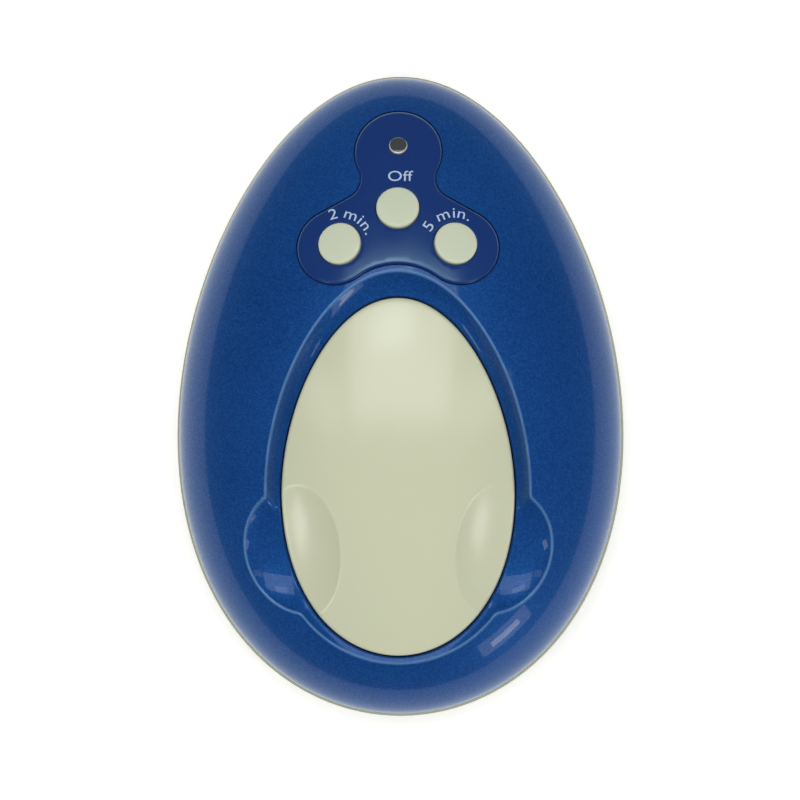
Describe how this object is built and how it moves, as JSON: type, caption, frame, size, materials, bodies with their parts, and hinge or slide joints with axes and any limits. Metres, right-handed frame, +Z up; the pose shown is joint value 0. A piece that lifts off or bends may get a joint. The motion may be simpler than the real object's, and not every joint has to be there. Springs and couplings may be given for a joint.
{
  "type": "ultrasonic contact lens cleaner",
  "caption": "Egg-shaped table-top cleaner for contact lenses: blue domed case, lift-off cream lid with finger scoops, lobed keypad with push buttons, steel tank and lens carrier inside.",
  "frame": {"origin": "on the table under the middle of the case's length and width", "axes": "+Z up, +Y towards the narrow end with the keypad and the power jack, +X to the right as seen in the picture"},
  "size_m": [0.105, 0.151, 0.0422],
  "materials": {
    "blue_pearl": "pearl blue lacquer on moulded plastic, clear gloss coat",
    "cream_plastic": "moulded cream plastic, semi-gloss",
    "button_cream": "moulded cream plastic, satin",
    "keypad_navy": "navy plastic, high gloss",
    "smoked_window": "smoked clear plastic, gloss",
    "led_epoxy": "tinted clear epoxy",
    "black_plastic": "moulded black plastic, fine texture",
    "board_green": "fibreglass board with green solder mask",
    "screw_steel": "zinc-plated steel",
    "tank_steel": "deep-drawn stainless steel, polished",
    "silicone_rubber": "soft grey silicone",
    "foot_rubber": "matt black rubber",
    "piezo_ceramic": "silvered piezo ceramic",
    "lead_insulation": "PVC insulation",
    "carrier_white": "moulded white plastic, satin",
    "ferrite_core": "ferrite core with taped winding",
    "can_aluminium": "drawn aluminium",
    "ribbon_grey": "flat grey ribbon",
    "pin_brass": "turned brass, tin plated"
  },
  "bodies": {
    "case": {"top_shell": "blue_pearl", "base_shell": "cream_plastic", "keypad_panel": "keypad_navy", "indicator_lens": "smoked_window", "indicator_led": "led_epoxy", "off_switch": "black_plastic", "two_minute_switch": "black_plastic", "five_minute_switch": "black_plastic", "keypad_board": "board_green", "keypad_board_screws": "screw_steel", "tank": "tank_steel", "tank_gasket": "silicone_rubber", "tank_clamp_ring": "black_plastic", "clamp_ring_screws": "screw_steel", "transducer": "piezo_ceramic", "transducer_leads": "lead_insulation", "main_board": "board_green", "main_board_screws": "screw_steel", "driver_transformer": "ferrite_core", "filter_capacitor": "can_aluminium", "power_transistor": "black_plastic", "heat_sink": "can_aluminium", "board_ribbon": "ribbon_grey", "ribbon_headers": "carrier_white", "power_jack": "black_plastic", "power_jack_pin": "pin_brass", "power_jack_leads": "lead_insulation", "rubber_feet": "foot_rubber", "case_screws": "screw_steel"},
    "lid": {"lid": "cream_plastic"},
    "carrier": {"lens_carrier": "carrier_white"},
    "left_cap": {"left_cup_cap": "carrier_white"},
    "right_cap": {"right_cup_cap": "carrier_white"},
    "off_button": {"off_button": "button_cream", "off_plunger": "black_plastic"},
    "two_minute_button": {"two_minute_button": "button_cream", "two_minute_plunger": "black_plastic"},
    "five_minute_button": {"five_minute_button": "button_cream", "five_minute_plunger": "black_plastic"}
  },
  "joints": [
    {"name": "lid_lift", "type": "slide", "parent": "case", "child": "lid", "axis": [0, 0, 1], "range_m": [0, 0.08]},
    {"name": "carrier_lift", "type": "slide", "parent": "case", "child": "carrier", "axis": [0, 0, 1], "range_m": [0, 0.0361]},
    {"name": "left_cap_hinge", "type": "hinge", "parent": "carrier", "child": "left_cap", "pos_m": [0, -0.0171, 0.0229], "axis": [1, 0, 0], "range_deg": [0, 85]},
    {"name": "right_cap_hinge", "type": "hinge", "parent": "carrier", "child": "right_cap", "pos_m": [0, -0.0229, 0.0229], "axis": [-1, 0, 0], "range_deg": [0, 85]},
    {"name": "off_press", "type": "slide", "parent": "case", "child": "off_button", "axis": [0, -0.2461, -0.9693], "range_m": [0, 0.0006], "stiffness_N_per_m": 1500},
    {"name": "two_minute_press", "type": "slide", "parent": "case", "child": "two_minute_button", "axis": [0.1795, -0.203, -0.9626], "range_m": [0, 0.0006], "stiffness_N_per_m": 1500},
    {"name": "five_minute_press", "type": "slide", "parent": "case", "child": "five_minute_button", "axis": [-0.1795, -0.203, -0.9626], "range_m": [0, 0.0006], "stiffness_N_per_m": 1500}
  ],
  "couplings": [
    {"joint": "carrier_lift", "follows": "lid_lift", "ratio": 0.45},
    {"joint": "left_cap_hinge", "follows": "lid_lift", "rad_per_m": 18.5},
    {"joint": "right_cap_hinge", "follows": "lid_lift", "rad_per_m": 18.5}
  ]
}
